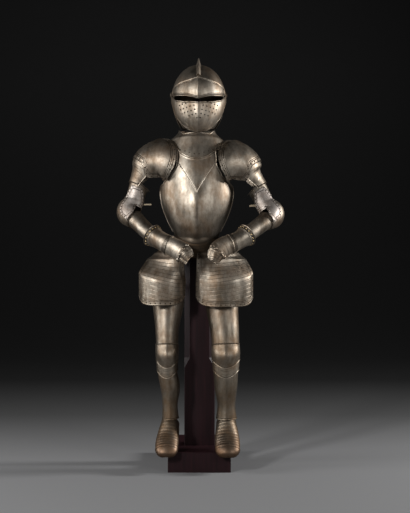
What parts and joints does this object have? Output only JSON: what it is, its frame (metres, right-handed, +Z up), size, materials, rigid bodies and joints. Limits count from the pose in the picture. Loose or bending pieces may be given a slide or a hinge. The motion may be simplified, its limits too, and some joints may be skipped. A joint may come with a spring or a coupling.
{
  "type": "suit of plate armour on a wooden stand",
  "caption": "Full suit of plate armour with a crested close helmet, pierced visor and lamed shoulders, hollow and empty, held up by a chamfered wooden post on a block base.",
  "frame": {"origin": "centre of the underside of the base block", "axes": "+Z up, -Y the way the suit faces, +X to the viewer's right (the suit's own left)"},
  "size_m": [0.7195, 0.4815, 1.7534],
  "materials": {
    "steel": "aged satin, brown in the hollows",
    "wood": "dark red-brown satin stain"
  },
  "bodies": {
    "armour": {"gorget_front": "steel", "gorget_back": "steel", "breastplate": "steel", "backplate": "steel", "fauld_front": "steel", "fauld_back": "steel", "helmet_skull": "steel", "helmet_brow": "steel", "helmet_bevor": "steel", "helmet_comb": "steel", "helmet_pin_right": "steel", "helmet_pin_left": "steel", "right_pauldron": "steel", "right_pauldron_upper_lames": "steel", "right_pauldron_lower_lames": "steel", "right_rerebrace": "steel", "right_couter": "steel", "right_couter_wing": "steel", "right_vambrace": "steel", "right_gauntlet_cuff": "steel", "right_gauntlet_hand": "steel", "right_gauntlet_fingers": "steel", "right_cuisse": "steel", "right_poleyn": "steel", "right_poleyn_lames": "steel", "right_greave": "steel", "right_sabaton": "steel", "right_toe_cap": "steel", "right_tasset": "steel", "left_pauldron": "steel", "left_pauldron_upper_lames": "steel", "left_pauldron_lower_lames": "steel", "left_rerebrace": "steel", "left_couter": "steel", "left_couter_wing": "steel", "left_vambrace": "steel", "left_gauntlet_cuff": "steel", "left_gauntlet_hand": "steel", "left_gauntlet_fingers": "steel", "left_cuisse": "steel", "left_poleyn": "steel", "left_poleyn_lames": "steel", "left_greave": "steel", "left_sabaton": "steel", "left_toe_cap": "steel", "left_tasset": "steel", "stand_base": "wood", "stand_post": "wood", "stand_yoke": "wood", "stand_hip_bar": "wood"},
    "visor": {"helmet_visor": "steel"}
  },
  "joints": [
    {"name": "visor_pivot", "type": "hinge", "parent": "armour", "child": "visor", "pos_m": [-0.004, -0.012, 1.595], "axis": [-1, 0, 0], "range_deg": [0, 40]}
  ]
}
